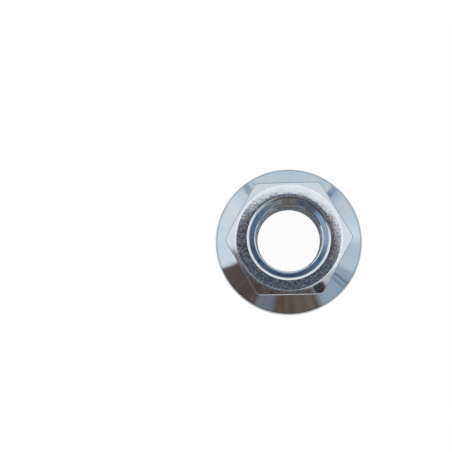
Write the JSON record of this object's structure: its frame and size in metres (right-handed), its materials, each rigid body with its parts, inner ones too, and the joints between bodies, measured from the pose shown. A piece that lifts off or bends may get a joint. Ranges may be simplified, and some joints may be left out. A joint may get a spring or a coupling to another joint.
{
  "type": "serrated flange nut",
  "caption": "Hexagon nut with a built-in conical flange whose toothed bearing face locks against the joint; takes an M16 coarse-thread bolt.",
  "frame": {"origin": "on the thread axis, in the plane of the tooth crests that the nut clamps against", "axes": "+Z along the thread axis from the bearing face to the hexagon's top; +X through a corner of the hexagon"},
  "size_m": [0.0335, 0.0334, 0.0154],
  "materials": {
    "zinc_plated_steel": "bright zinc plating with a blue-white passivation, smooth on the flange and pitted on the hexagon"
  },
  "bodies": {
    "root": {"flange_nut": "zinc_plated_steel"}
  },
  "joints": []
}
